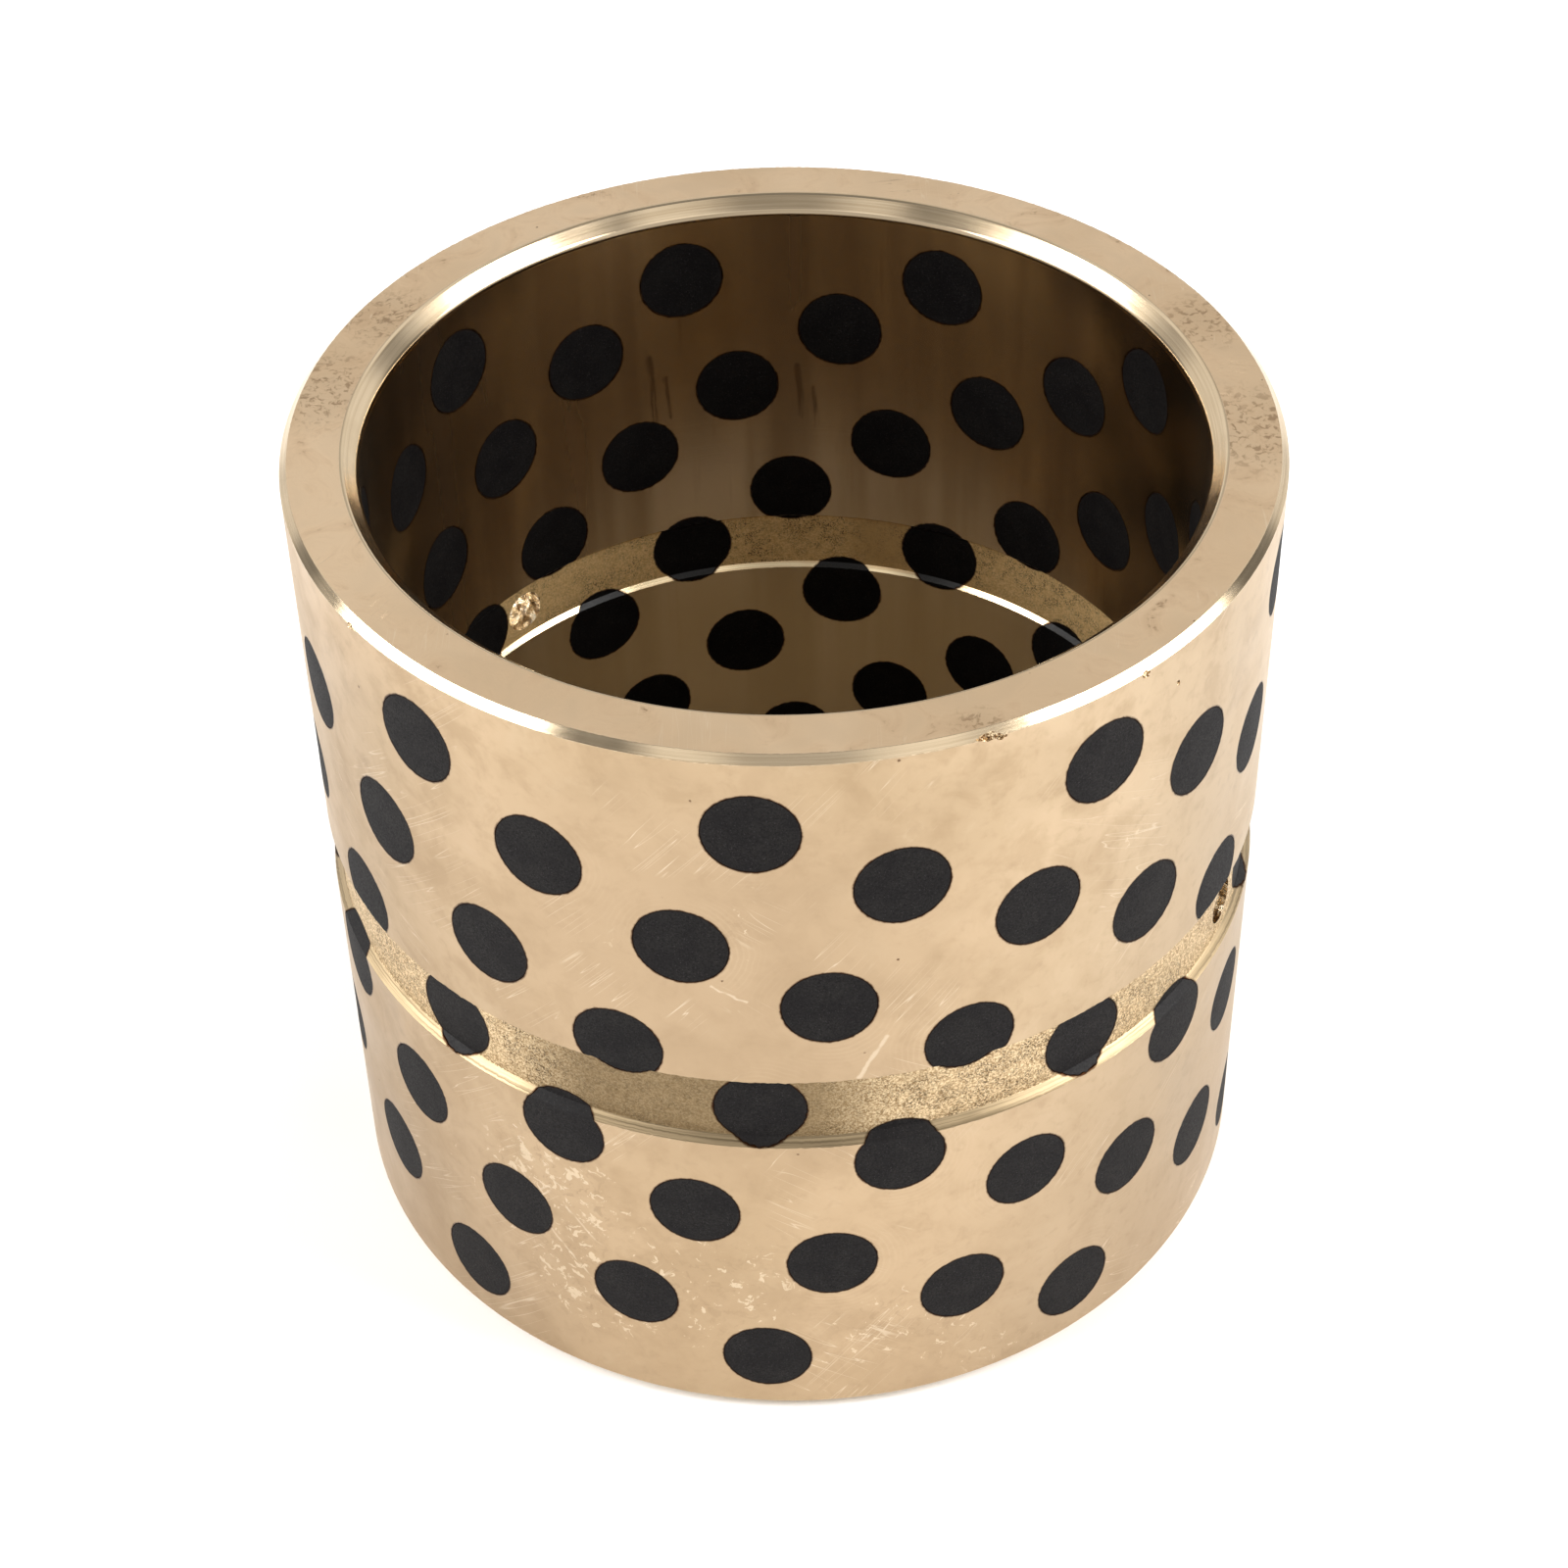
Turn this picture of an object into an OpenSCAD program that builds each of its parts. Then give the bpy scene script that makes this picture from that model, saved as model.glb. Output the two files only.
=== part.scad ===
// Oil-less sleeve bushing: a turned bronze sleeve with graphite plugs set through its wall.
// The sleeve stands on its lower end. The origin is the middle of that end face, and +Z is the bushing's axis.
// Angles are turned about +Z from the -Y side, towards +X.

/* [Sleeve] */
// Outside diameter, the press fit in the housing
outside_d = 130; // [128:0.5:140]
// Bore diameter, the running fit on the pin
bore_d = 110; // [100:0.5:112]
// Length over both end faces
length = 120; // [120:1:126]
// Outside chamfer at the upper end
upper_chamfer = 1; // [0.5:0.1:3]
// Outside chamfer at the lower end, the lead into the housing
lower_chamfer = 1.5; // [0.5:0.1:3]
// Chamfer at both ends of the bore
bore_chamfer = 2; // [0.5:0.1:3]

/* [Grease grooves] */
// Width of the outside groove at its mouth
outer_groove_w = 12.2; // [6:0.2:16]
// Depth of the outside groove, whose sides slope at 45 degrees
outer_groove_depth = 1.15; // [0.5:0.05:2]
// Height of the outside groove's middle
outer_groove_z = 59.7; // [50:0.1:70]
// Width of the bore's groove at its mouth
bore_groove_w = 10; // [6:0.5:16]
// Depth of the bore's groove, whose sides slope at 45 degrees
bore_groove_depth = 0.7; // [0.3:0.05:2]
// Height of the bore groove's middle
bore_groove_z = 59.4; // [50:0.1:70]

/* [Grease holes] */
// Diameter of the holes that join the two grooves
grease_hole_d = 6.4; // [3:0.1:6.6]
// Angle of the first grease hole
first_grease_hole = 65; // [64:0.5:66]
// Angle of the second grease hole
second_grease_hole = 225.5; // [224:0.5:226]

/* [Graphite plugs] */
// Diameter of a plug
plug_d = 12; // [6:0.1:12.4]
// Gap around a plug, filled by its adhesive
plug_gap = 0.05; // [0.02:0.01:0.1]
// Height of the lowest ring of plugs
first_ring_z = 11.2; // [10:0.1:12]
// Rise from one ring of plugs to the next
ring_rise = 9.7; // [9.6:0.05:9.75]
// Angle of the first plug in the lowest ring
first_plug_angle = -4.6; // [-5.5:0.1:-3.5]
// Turn from one ring to the ring above it
ring_turn = -16; // [-16.5:0.1:-15.5]

/* [Hidden] */

RINGS = 11;
PLUGS_PER_RING = 9;
PLUGS_PER_GROUP = 3;
outside_r = outside_d / 2;
bore_r = bore_d / 2;
turned_fn = 180;
drilled_fn = 40;
bronze = [0.84, 0.70, 0.51];
graphite = [0.17, 0.16, 0.16];

// The turned section as it stands before drilling: both end chamfers, both bore chamfers and both grooves.
module turned_section() {
    outer_low = outer_groove_z - outer_groove_w / 2;
    outer_high = outer_groove_z + outer_groove_w / 2;
    bore_low = bore_groove_z - bore_groove_w / 2;
    bore_high = bore_groove_z + bore_groove_w / 2;
    polygon([
        [bore_r + bore_chamfer, 0],
        [outside_r - lower_chamfer, 0],
        [outside_r, lower_chamfer],
        [outside_r, outer_low],
        [outside_r - outer_groove_depth, outer_low + outer_groove_depth],
        [outside_r - outer_groove_depth, outer_high - outer_groove_depth],
        [outside_r, outer_high],
        [outside_r, length - upper_chamfer],
        [outside_r - upper_chamfer, length],
        [bore_r + bore_chamfer, length],
        [bore_r, length - bore_chamfer],
        [bore_r, bore_high],
        [bore_r + bore_groove_depth, bore_high - bore_groove_depth],
        [bore_r + bore_groove_depth, bore_low + bore_groove_depth],
        [bore_r, bore_low],
        [bore_r, bore_chamfer],
    ]);
}

module turned_wall() {
    rotate_extrude($fn = turned_fn) turned_section();
}

// A round bar that crosses the wall along a radius.
module radial_bar(d, angle, z) {
    clear = 4;
    rotate([0, 0, angle])
        translate([0, -bore_r + clear, z])
            rotate([90, 0, 0])
                cylinder(d = d, h = outside_r - bore_r + 2 * clear, $fn = drilled_fn);
}

// Ring 1 is the lowest, and a ring's places run from 0 to 8.
function plug_z(ring) = first_ring_z + (ring - 1) * ring_rise;
function plug_angle(ring, place) =
    first_plug_angle + (ring - 1) * ring_turn + place * 360 / PLUGS_PER_RING;

// The sleeve, drilled for every plug and for both grease holes.
module bushing_body() {
    color(bronze) difference() {
        turned_wall();
        for (ring = [1 : RINGS], place = [0 : PLUGS_PER_RING - 1])
            radial_bar(plug_d + 2 * plug_gap, plug_angle(ring, place), plug_z(ring));
        for (angle = [first_grease_hole, second_grease_hole])
            radial_bar(grease_hole_d, angle, bore_groove_z);
    }
}

// Three neighbouring plugs of one ring, machined flush with the wall: group 0 holds places 0 to 2.
module plug_group(ring, group) {
    first = group * PLUGS_PER_GROUP;
    color(graphite) intersection() {
        turned_wall();
        for (place = [first : first + PLUGS_PER_GROUP - 1])
            radial_bar(plug_d, plug_angle(ring, place), plug_z(ring));
    }
}

module plugs_ring_01_a() { plug_group(ring = 1, group = 0); }
module plugs_ring_01_b() { plug_group(ring = 1, group = 1); }
module plugs_ring_01_c() { plug_group(ring = 1, group = 2); }
module plugs_ring_02_a() { plug_group(ring = 2, group = 0); }
module plugs_ring_02_b() { plug_group(ring = 2, group = 1); }
module plugs_ring_02_c() { plug_group(ring = 2, group = 2); }
module plugs_ring_03_a() { plug_group(ring = 3, group = 0); }
module plugs_ring_03_b() { plug_group(ring = 3, group = 1); }
module plugs_ring_03_c() { plug_group(ring = 3, group = 2); }
module plugs_ring_04_a() { plug_group(ring = 4, group = 0); }
module plugs_ring_04_b() { plug_group(ring = 4, group = 1); }
module plugs_ring_04_c() { plug_group(ring = 4, group = 2); }
module plugs_ring_05_a() { plug_group(ring = 5, group = 0); }
module plugs_ring_05_b() { plug_group(ring = 5, group = 1); }
module plugs_ring_05_c() { plug_group(ring = 5, group = 2); }
module plugs_ring_06_a() { plug_group(ring = 6, group = 0); }
module plugs_ring_06_b() { plug_group(ring = 6, group = 1); }
module plugs_ring_06_c() { plug_group(ring = 6, group = 2); }
module plugs_ring_07_a() { plug_group(ring = 7, group = 0); }
module plugs_ring_07_b() { plug_group(ring = 7, group = 1); }
module plugs_ring_07_c() { plug_group(ring = 7, group = 2); }
module plugs_ring_08_a() { plug_group(ring = 8, group = 0); }
module plugs_ring_08_b() { plug_group(ring = 8, group = 1); }
module plugs_ring_08_c() { plug_group(ring = 8, group = 2); }
module plugs_ring_09_a() { plug_group(ring = 9, group = 0); }
module plugs_ring_09_b() { plug_group(ring = 9, group = 1); }
module plugs_ring_09_c() { plug_group(ring = 9, group = 2); }
module plugs_ring_10_a() { plug_group(ring = 10, group = 0); }
module plugs_ring_10_b() { plug_group(ring = 10, group = 1); }
module plugs_ring_10_c() { plug_group(ring = 10, group = 2); }
module plugs_ring_11_a() { plug_group(ring = 11, group = 0); }
module plugs_ring_11_b() { plug_group(ring = 11, group = 1); }
module plugs_ring_11_c() { plug_group(ring = 11, group = 2); }

bushing_body();
plugs_ring_01_a();
plugs_ring_01_b();
plugs_ring_01_c();
plugs_ring_02_a();
plugs_ring_02_b();
plugs_ring_02_c();
plugs_ring_03_a();
plugs_ring_03_b();
plugs_ring_03_c();
plugs_ring_04_a();
plugs_ring_04_b();
plugs_ring_04_c();
plugs_ring_05_a();
plugs_ring_05_b();
plugs_ring_05_c();
plugs_ring_06_a();
plugs_ring_06_b();
plugs_ring_06_c();
plugs_ring_07_a();
plugs_ring_07_b();
plugs_ring_07_c();
plugs_ring_08_a();
plugs_ring_08_b();
plugs_ring_08_c();
plugs_ring_09_a();
plugs_ring_09_b();
plugs_ring_09_c();
plugs_ring_10_a();
plugs_ring_10_b();
plugs_ring_10_c();
plugs_ring_11_a();
plugs_ring_11_b();
plugs_ring_11_c();
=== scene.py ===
import math

import bmesh
import bpy
import numpy as np
from mathutils import Matrix, Vector


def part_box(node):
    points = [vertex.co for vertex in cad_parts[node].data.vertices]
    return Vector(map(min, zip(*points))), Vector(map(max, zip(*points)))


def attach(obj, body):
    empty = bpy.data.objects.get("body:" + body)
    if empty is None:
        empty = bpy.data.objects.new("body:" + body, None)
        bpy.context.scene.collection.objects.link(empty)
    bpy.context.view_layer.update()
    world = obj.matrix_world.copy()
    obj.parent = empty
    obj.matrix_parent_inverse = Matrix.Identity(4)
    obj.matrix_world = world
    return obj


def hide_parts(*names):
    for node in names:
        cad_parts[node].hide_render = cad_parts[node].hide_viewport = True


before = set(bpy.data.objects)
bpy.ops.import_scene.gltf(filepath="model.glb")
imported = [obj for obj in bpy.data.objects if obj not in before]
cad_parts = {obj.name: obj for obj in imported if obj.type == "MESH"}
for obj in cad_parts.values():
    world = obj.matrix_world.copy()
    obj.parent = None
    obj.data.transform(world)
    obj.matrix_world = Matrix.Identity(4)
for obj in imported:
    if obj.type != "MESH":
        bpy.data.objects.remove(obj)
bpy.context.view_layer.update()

# The sleeve's sizes, in metres, as part.scad states them. The outside radius and length are read
# from the frame.
MM = 0.001
body_low, body_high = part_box("bushing_body")
OUTSIDE_R = body_high.x
LENGTH = body_high.z - body_low.z
BORE_R = 55 * MM
UPPER_CHAMFER = 1 * MM
LOWER_CHAMFER = 1.5 * MM
BORE_CHAMFER = 2 * MM
OUTER_GROOVE_Z, OUTER_GROOVE_W, OUTER_GROOVE_DEPTH = 59.7 * MM, 12.2 * MM, 1.15 * MM
BORE_GROOVE_Z, BORE_GROOVE_W, BORE_GROOVE_DEPTH = 59.4 * MM, 10 * MM, 0.7 * MM
GREASE_HOLE_R = 3.2 * MM
GREASE_HOLE_ANGLES = (65, 225.5)
PLUG_R = 6 * MM
RINGS, PLUGS_PER_RING, PLUGS_PER_GROUP = 11, 9, 3
FIRST_RING_Z, RING_RISE = 11.2 * MM, 9.7 * MM
FIRST_PLUG_ANGLE, RING_TURN, PLUG_PITCH = -4.6, -16.0, 40.0
GROUPS = "abc"

# How finely the wall is turned. With the holes cut, the sleeve stays under 200,000 triangles.
STEPS_AROUND = 900
# Each hole is wider, and each plug narrower, than its nominal size by this much.
HOLE_GAP = 0.05 * MM
# Rings, counted from 0 at the bottom, whose plugs the outside groove cuts.
CHIPPED_RINGS = (4, 5, 6)
# How far the cutters stand proud of the wall at each end.
CUTTER_MARGIN = 3 * MM
# The drill's ridges in the grease holes: their height, their pitch over a full turn of the cosine, and
# how many stations and points round the hole carry them.
RIDGE_HEIGHT, RIDGE_PITCH, RIDGE_STEPS = 0.07 * MM, 0.36 * MM, 72
RIDGE_LEAN, RIDGE_LEAN_FROM = 1.1, 0.6
PLUG_STOCK_SHRINK = 0.02 * MM
SEED = 110130


# ---------------------------------------------------------------- turned profile
OUTSIDE, GROOVE_FLOOR, GROOVE_SIDE, END_FACE, CHAMFER, BORE, BORE_FLOOR, BORE_SIDE = range(8)
PLUG_HOLE, GREASE_HOLE, NICK = 8, 9, 10
# Added to a surface's number while building, for the rounding that belongs to it.
ROUNDING = 11


def corner(r, z, surface, fillet, arc_surface, steps=3, ragged=0.0):
    """A corner of the profile. The straight after it belongs to surface, its rounding to arc_surface."""
    return {
        "at": np.array([r, z]),
        "surface": surface,
        "fillet": fillet,
        "arc_surface": arc_surface,
        "steps": steps,
        "ragged": ragged,
    }


def sleeve_corners():
    out_low = OUTER_GROOVE_Z - OUTER_GROOVE_W / 2
    out_high = OUTER_GROOVE_Z + OUTER_GROOVE_W / 2
    out_floor = OUTSIDE_R - OUTER_GROOVE_DEPTH
    in_low = BORE_GROOVE_Z - BORE_GROOVE_W / 2
    in_high = BORE_GROOVE_Z + BORE_GROOVE_W / 2
    in_floor = BORE_R + BORE_GROOVE_DEPTH
    d, e = OUTER_GROOVE_DEPTH, BORE_GROOVE_DEPTH
    edge, sharp, mouth, floor = 0.12 * MM, 0.08 * MM, 0.05 * MM, 0.2 * MM
    return [
        corner(OUTSIDE_R - LOWER_CHAMFER, 0, CHAMFER, edge, CHAMFER),
        corner(OUTSIDE_R, LOWER_CHAMFER, OUTSIDE, edge, CHAMFER),
        corner(OUTSIDE_R, out_low, GROOVE_SIDE, mouth, GROOVE_SIDE, 2, 0.045 * MM),
        corner(out_floor, out_low + d, GROOVE_FLOOR, floor, GROOVE_FLOOR, 3, 0.02 * MM),
        corner(out_floor, out_high - d, GROOVE_SIDE, floor, GROOVE_FLOOR, 3, 0.02 * MM),
        corner(OUTSIDE_R, out_high, OUTSIDE, mouth, GROOVE_SIDE, 2, 0.045 * MM),
        corner(OUTSIDE_R, LENGTH - UPPER_CHAMFER, CHAMFER, sharp, CHAMFER, 3, 0.02 * MM),
        corner(OUTSIDE_R - UPPER_CHAMFER, LENGTH, END_FACE, sharp, CHAMFER, 3, 0.02 * MM),
        corner(BORE_R + BORE_CHAMFER, LENGTH, CHAMFER, 0.7 * MM, CHAMFER, 6),
        corner(BORE_R, LENGTH - BORE_CHAMFER, BORE, 1.4 * MM, CHAMFER, 8),
        corner(BORE_R, in_high, BORE_SIDE, mouth, BORE_SIDE, 2, 0.03 * MM),
        corner(in_floor, in_high - e, BORE_FLOOR, floor, BORE_FLOOR, 3),
        corner(in_floor, in_low + e, BORE_SIDE, floor, BORE_FLOOR, 3),
        corner(BORE_R, in_low, BORE, mouth, BORE_SIDE, 2, 0.03 * MM),
        corner(BORE_R, BORE_CHAMFER, CHAMFER, 0.3 * MM, CHAMFER, 4),
        corner(BORE_R + BORE_CHAMFER, 0, END_FACE, 0.3 * MM, CHAMFER, 4),
    ]


def unit(v):
    return v / np.linalg.norm(v)


def outline(corners):
    """The closed profile as rows: point, normal, surface of the edge after it, corner and raggedness."""
    points, normals, surfaces, numbers, ragged = [], [], [], [], []
    count = len(corners)
    for i, c in enumerate(corners):
        before, after = corners[i - 1]["at"] - c["at"], corners[(i + 1) % count]["at"] - c["at"]
        a, b = unit(before), unit(after)
        half = math.acos(float(np.clip(a @ b, -1, 1))) / 2
        back = c["fillet"] / math.tan(half)
        centre = c["at"] + unit(a + b) * c["fillet"] / math.sin(half)
        start, end = c["at"] + a * back, c["at"] + b * back
        first, last = np.array([-a[1], a[0]]), np.array([b[1], -b[0]])
        sign = 1.0 if (start - centre) @ first > 0 else -1.0
        for k in range(c["steps"] + 1):
            n = unit(first * (1 - k / c["steps"]) + last * k / c["steps"])
            points.append(centre + n * sign * c["fillet"])
            normals.append(n)
            surfaces.append(c["arc_surface"] + ROUNDING if k < c["steps"] else c["surface"])
            numbers.append(i)
            ragged.append(c["ragged"])
    return np.array(points), np.array(normals), np.array(surfaces), numbers, ragged


def wobble(rng, angles, lowest, highest, waves=60):
    """A seamless irregular line round the axis, with a spread of 1."""
    total = np.zeros(len(angles))
    for k in rng.integers(lowest, highest, waves):
        total += rng.normal() * np.cos(k * angles + rng.uniform(0, 2 * math.pi))
    return total / max(total.std(), 1e-9)


def turned(rng, profile, shrink=0.0):
    """The whole turned wall as vertices, faces and a surface number for each face."""
    points, normals, surfaces, numbers, ragged = profile
    angles = np.arange(STEPS_AROUND) * 2 * math.pi / STEPS_AROUND
    count = len(points)
    verts = np.zeros((STEPS_AROUND, count, 3))
    lines = [wobble(rng, angles, 40, 420) for _ in range(max(numbers) + 1)]
    for i in range(count):
        r = np.full(STEPS_AROUND, points[i, 0] - normals[i, 0] * shrink)
        z = points[i, 1] - normals[i, 1] * shrink + ragged[i] * lines[numbers[i]]
        verts[:, i] = np.stack([r * np.sin(angles), -r * np.cos(angles), z], 1)
    j = np.arange(STEPS_AROUND)[:, None] * count
    nxt = (np.arange(STEPS_AROUND)[:, None] + 1) % STEPS_AROUND * count
    i = np.arange(count)[None, :]
    up = (np.arange(count)[None, :] + 1) % count
    faces = np.stack([j + i, nxt + i, nxt + up, j + up], -1).reshape(-1, 4)
    return verts.reshape(-1, 3), faces, np.tile(surfaces, STEPS_AROUND)


# ---------------------------------------------------------------- cutters and plugs
def plug_places():
    """(ring, place, angle in radians, height) of every plug, ring 0 lowest."""
    for ring in range(RINGS):
        for place in range(PLUGS_PER_RING):
            angle = math.radians(FIRST_PLUG_ANGLE + ring * RING_TURN + place * PLUG_PITCH)
            yield ring, place, angle, FIRST_RING_Z + ring * RING_RISE


def bar(angle, z, stations, radii, surface):
    """A closed bar through the wall along a radius. radii[i] are its radii round the axis at stations[i]."""
    count = radii.shape[1]
    turn = np.arange(count) * 2 * math.pi / count
    across = np.array([math.cos(angle), math.sin(angle), 0.0])
    along = np.array([math.sin(angle), -math.cos(angle), 0.0])
    up = np.array([0.0, 0.0, 1.0])
    rows = []
    for s, radius in zip(stations, radii):
        rows.append(
            along * s
            + up * z
            + (radius * np.cos(turn))[:, None] * across
            + (radius * np.sin(turn))[:, None] * up
        )
    faces = []
    for row in range(len(stations) - 1):
        for k in range(count):
            n = (k + 1) % count
            faces.append([row * count + k, row * count + n, (row + 1) * count + n, (row + 1) * count + k])
    faces.append(list(range((len(stations) - 1) * count, len(stations) * count)))
    faces.append(list(range(count))[::-1])
    return np.concatenate(rows), faces, [surface] * len(faces)


def blob(rng, centre, size, surface):
    """A small closed lump that leaves a nick where it is cut away."""
    bm = bmesh.new()
    bmesh.ops.create_icosphere(bm, subdivisions=3, radius=1.0)
    co = np.array([v.co for v in bm.verts])
    for _ in range(14):
        direction = unit(rng.normal(size=3))
        co *= (1 + 0.1 * np.cos(co @ direction * rng.uniform(2, 7) + rng.uniform(0, 6)))[:, None]
    faces = [[v.index for v in f.verts] for f in bm.faces]
    bm.free()
    return co * np.array(size) + np.array(centre), faces, [surface] * len(faces)


def joined(parts):
    """Several (vertices, faces, surfaces) as one."""
    verts, faces, surfaces, base = [], [], [], 0
    for v, f, s in parts:
        verts.append(v)
        faces += [[i + base for i in face] for face in f]
        surfaces += list(s)
        base += len(v)
    return np.concatenate(verts), faces, surfaces


def rim_shape(rng, ring):
    """How far a plug hole's edge strays from a true circle. It is rougher where a groove cuts it."""
    count = 144 if ring in CHIPPED_RINGS else 96
    turn = np.arange(count) * 2 * math.pi / count
    fine = wobble(rng, turn, 6, count // 3, 24)
    broad = wobble(rng, turn, 2, 6, 4)
    if ring in CHIPPED_RINGS:
        return 0.02 * MM * broad + 0.045 * MM * fine
    return 0.012 * MM * broad + 0.012 * MM * fine


def as_object(name, verts, faces, surfaces, slots):
    mesh = bpy.data.meshes.new(name)
    mesh.from_pydata([tuple(v) for v in verts], [], [tuple(int(i) for i in f) for f in faces])
    for m in slots:
        mesh.materials.append(m)
    mesh.polygons.foreach_set("material_index", np.array(surfaces, dtype=np.int32))
    mesh.update()
    made = bpy.data.objects.new(name, mesh)
    bpy.context.scene.collection.objects.link(made)
    return made


def combine(base, other, operation):
    """Applies the boolean to base, as a new mesh on it, and removes other."""
    modifier = base.modifiers.new("cut", "BOOLEAN")
    modifier.object = other
    modifier.operation = operation
    modifier.solver = "MANIFOLD"
    bpy.context.view_layer.update()
    graph = bpy.context.evaluated_depsgraph_get()
    mesh = bpy.data.meshes.new_from_object(base.evaluated_get(graph))
    old = base.data
    base.modifiers.clear()
    base.data = mesh
    mesh.name = base.name
    bpy.data.meshes.remove(old)
    spent = other.data
    bpy.data.objects.remove(other)
    bpy.data.meshes.remove(spent)


# ---------------------------------------------------------------- smooth shading
def profile_normals(r, z, surface, profile, rounded):
    """The turned surface's own normal for each (r, z): a straight's one normal, or a rounding's own."""
    points, normals, surfaces = profile[:3]
    best, found = np.full(len(r), 1e9), np.zeros((len(r), 2))
    p = np.stack([r, z], 1)
    for i in range(len(points)):
        if (surfaces[i] >= ROUNDING) != rounded:
            continue
        a, b = points[i], points[(i + 1) % len(points)]
        d = b - a
        t = np.clip((p - a) @ d / max(d @ d, 1e-18), 0, 1)[:, None]
        gap = np.linalg.norm(p - (a + t * d), axis=1)
        closer = (gap < best) & (surface == surfaces[i])
        best[closer] = gap[closer]
        found[closer] = (normals[i] * (1 - t) + normals[(i + 1) % len(points)] * t)[closer]
    return found / np.maximum(np.linalg.norm(found, axis=1), 1e-9)[:, None]


def nearest_plug(points):
    """(ring, place, angle, height) arrays of the plug whose axis is nearest to each point."""
    angle = np.arctan2(points[:, 0], -points[:, 1])
    radius = np.hypot(points[:, 0], points[:, 1])
    best = np.full(len(points), 1e9)
    out = [np.zeros(len(points)) for _ in range(4)]
    for ring, place, at, z in plug_places():
        off = (angle - at + math.pi) % (2 * math.pi) - math.pi
        gap = np.hypot(radius * np.where(np.abs(off) < 1.5, np.sin(off), 9), points[:, 2] - z)
        closer = gap < best
        best[closer] = gap[closer]
        for store, value in zip(out, (ring, place, at, z)):
            store[closer] = value
    return out


def read(collection, name, width=1, kind=float):
    """One property of every item of a mesh collection as an array."""
    values = np.zeros(len(collection) * width, dtype=kind)
    collection.foreach_get(name, values)
    return values.reshape(-1, width) if width > 1 else values


def shade(made, profile, inward):
    """Sets corner normals from the shapes a piece was cut from, and its finishes to their slots."""
    mesh = made.data
    co = read(mesh.vertices, "co", 3)
    loops = read(mesh.loops, "vertex_index", kind=np.int32)
    surface = read(mesh.polygons, "material_index", kind=np.int32)
    sizes = read(mesh.polygons, "loop_total", kind=np.int32)
    normals = np.repeat(read(mesh.polygons, "normal", 3), sizes, axis=0)
    centres = np.repeat(read(mesh.polygons, "center", 3), sizes, axis=0)
    at_corner, of_corner = co[loops], np.repeat(surface, sizes)
    r = np.maximum(np.hypot(at_corner[:, 0], at_corner[:, 1]), 1e-9)
    outward = at_corner[:, :2] / r[:, None]
    middle = np.hypot(centres[:, 0], centres[:, 1])
    straight = profile_normals(middle, centres[:, 2], of_corner, profile, False)
    rounded = profile_normals(r, at_corner[:, 2], of_corner, profile, True)
    for chosen, found in (((of_corner < PLUG_HOLE), straight), ((of_corner >= ROUNDING), rounded)):
        normals[chosen] = np.concatenate([outward * found[:, :1], found[:, 1:]], 1)[chosen]
    _, _, at, height = nearest_plug(centres)
    across = np.stack([np.cos(at), np.sin(at), np.zeros(len(at))], 1)
    side = np.sum(at_corner * across, 1)[:, None] * across
    side[:, 2] = at_corner[:, 2] - height
    side /= np.maximum(np.linalg.norm(side, axis=1), 1e-9)[:, None] * (-1 if inward else 1)
    in_hole = of_corner == PLUG_HOLE
    normals[in_hole] = side[in_hole]
    surface[surface >= ROUNDING] -= ROUNDING
    mesh.polygons.foreach_set("material_index", surface)
    mesh.polygons.foreach_set("use_smooth", np.ones(len(mesh.polygons), dtype=bool))
    mesh.normals_split_custom_set(normals.tolist())
    while len(mesh.materials) > ROUNDING:
        mesh.materials.pop()
    mesh.update()


# ---------------------------------------------------------------- shader helpers
def tone(r, g, b):
    """A colour given in display values from 0 to 255, as the linear colour a shader takes."""
    def linear(v):
        v /= 255
        return v / 12.92 if v <= 0.04045 else ((v + 0.055) / 1.055) ** 2.4
    return (linear(r), linear(g), linear(b), 1.0)


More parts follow.
